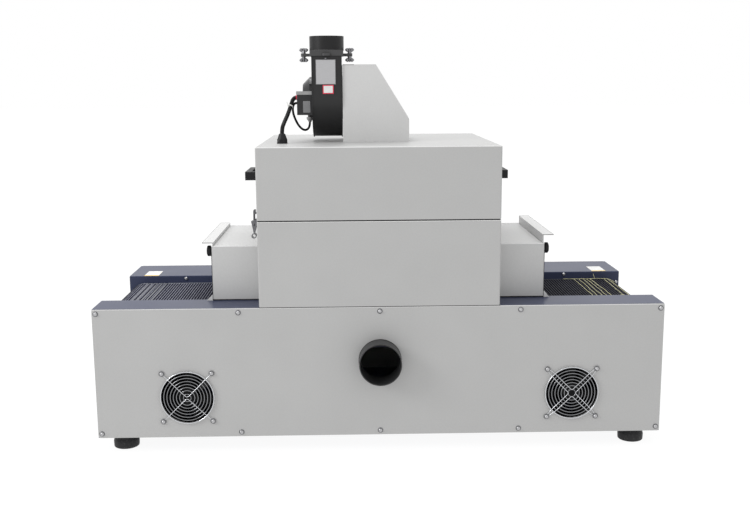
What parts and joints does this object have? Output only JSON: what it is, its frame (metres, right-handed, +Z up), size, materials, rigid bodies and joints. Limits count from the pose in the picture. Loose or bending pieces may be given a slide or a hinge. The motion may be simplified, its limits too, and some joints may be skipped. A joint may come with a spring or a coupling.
{
  "type": "bench-top uv curing tunnel with conveyor belt",
  "caption": "Bench-top UV curing tunnel: mesh conveyor through shuttered tunnels and a hinged lamp box with roof blower, on a fan-cooled cabinet.",
  "frame": {"origin": "on the floor, under the middle of the overall length and of the overall depth with the duct spigot", "axes": "+X along the belt, +Y from the fan side to the plain side, +Z up"},
  "size_m": [1.2, 0.54, 0.875],
  "materials": {
    "panel_paint": "fine textured powder coat",
    "rail_paint": "satin powder coat",
    "belt_mesh": "open coated glass mesh",
    "roller_steel": "turned steel",
    "foot_rubber": "moulded rubber",
    "fan_plastic": "moulded",
    "guard_chrome": "plated wire",
    "duct_plastic": "smooth",
    "gasket_rubber": "foam rubber",
    "bright_steel": "zinc plated",
    "handle_plastic": "fine grained",
    "knob_plastic": "moulded",
    "reflector_aluminium": "polished",
    "lamp_quartz": "clear quartz",
    "blower_paint": "semi-gloss black",
    "motor_metal": "dark cast metal",
    "box_plastic": "moulded",
    "cable_black": "sleeved cable"
  },
  "bodies": {
    "base": {"cabinet_floor": "rail_paint", "rear_panel": "panel_paint", "front_panel": "panel_paint", "left_end_plate": "rail_paint", "right_end_plate": "rail_paint", "rear_rail": "rail_paint", "front_rail": "rail_paint", "belt_bed": "rail_paint", "belt": "belt_mesh", "left_roller": "roller_steel", "right_roller": "roller_steel", "feet": "foot_rubber", "left_fan_frame": "fan_plastic", "right_fan_frame": "fan_plastic", "left_fan_guard": "guard_chrome", "right_fan_guard": "guard_chrome", "duct_spigot": "duct_plastic", "lamp_box": "panel_paint", "lid_gasket": "gasket_rubber", "box_hinges": "bright_steel", "latch_bases": "bright_steel", "left_tunnel": "panel_paint", "right_tunnel": "panel_paint"},
    "lid": {"lid": "panel_paint", "reflectors": "reflector_aluminium", "uv_lamps": "lamp_quartz", "lid_hinges": "bright_steel", "lid_handles": "handle_plastic", "latch_keepers": "bright_steel", "hood": "panel_paint", "blower_housing": "blower_paint", "outlet_adaptor": "blower_paint", "blower_motor": "motor_metal", "terminal_box": "box_plastic", "cable_gland": "box_plastic", "blower_cable": "cable_black", "motor_lead": "cable_black"},
    "left_shutter": {"left_shutter": "panel_paint"},
    "right_shutter": {"right_shutter": "panel_paint"},
    "left_fan_rotor": {"left_fan_rotor": "fan_plastic"},
    "right_fan_rotor": {"right_fan_rotor": "fan_plastic"},
    "left_rear_knob": {"left_rear_knob": "knob_plastic"},
    "left_front_knob": {"left_front_knob": "knob_plastic"},
    "right_rear_knob": {"right_rear_knob": "knob_plastic"},
    "right_front_knob": {"right_front_knob": "knob_plastic"},
    "rear_latch_lever": {"rear_latch_lever": "bright_steel"},
    "rear_latch_bail": {"rear_latch_bail": "bright_steel"},
    "front_latch_lever": {"front_latch_lever": "bright_steel"},
    "front_latch_bail": {"front_latch_bail": "bright_steel"}
  },
  "joints": [
    {"name": "lid_hinge", "type": "hinge", "parent": "base", "child": "lid", "pos_m": [0.256, 0.02, 0.49575], "axis": [0, 1, 0], "range_deg": [0, 60]},
    {"name": "left_shutter_slide", "type": "slide", "parent": "base", "child": "left_shutter", "axis": [0, 0, 1], "range_m": [0, 0.04]},
    {"name": "right_shutter_slide", "type": "slide", "parent": "base", "child": "right_shutter", "axis": [0, 0, 1], "range_m": [-0.011, 0.029]},
    {"name": "left_fan_spin", "type": "hinge", "parent": "base", "child": "left_fan_rotor", "pos_m": [-0.408, -0.21, 0.122], "axis": [0, 1, 0], "continuous": true},
    {"name": "right_fan_spin", "type": "hinge", "parent": "base", "child": "right_fan_rotor", "pos_m": [0.408, -0.21, 0.122], "axis": [0, 1, 0], "continuous": true},
    {"name": "left_rear_knob_turn", "type": "hinge", "parent": "base", "child": "left_rear_knob", "pos_m": [-0.3581, -0.138, 0.4205], "axis": [-1, 0, 0], "continuous": true},
    {"name": "left_front_knob_turn", "type": "hinge", "parent": "base", "child": "left_front_knob", "pos_m": [-0.3581, 0.146, 0.4205], "axis": [-1, 0, 0], "continuous": true},
    {"name": "right_rear_knob_turn", "type": "hinge", "parent": "base", "child": "right_rear_knob", "pos_m": [0.3581, -0.138, 0.4205], "axis": [1, 0, 0], "continuous": true},
    {"name": "right_front_knob_turn", "type": "hinge", "parent": "base", "child": "right_front_knob", "pos_m": [0.3581, 0.146, 0.4205], "axis": [1, 0, 0], "continuous": true},
    {"name": "rear_latch_open", "type": "hinge", "parent": "base", "child": "rear_latch_lever", "pos_m": [-0.26, -0.16, 0.487], "axis": [0, 1, 0], "range_deg": [0, 120]},
    {"name": "rear_bail_swing", "type": "hinge", "parent": "rear_latch_lever", "child": "rear_latch_bail", "pos_m": [-0.2638, -0.16, 0.479], "axis": [0, 1, 0], "range_deg": [-150, 0]},
    {"name": "front_latch_open", "type": "hinge", "parent": "base", "child": "front_latch_lever", "pos_m": [-0.26, 0.2, 0.487], "axis": [0, 1, 0], "range_deg": [0, 120]},
    {"name": "front_bail_swing", "type": "hinge", "parent": "front_latch_lever", "child": "front_latch_bail", "pos_m": [-0.2638, 0.2, 0.479], "axis": [0, 1, 0], "range_deg": [-150, 0]}
  ],
  "couplings": [
    {"joint": "rear_bail_swing", "follows": "rear_latch_open", "ratio": -1.25},
    {"joint": "front_bail_swing", "follows": "front_latch_open", "ratio": -1.25}
  ]
}
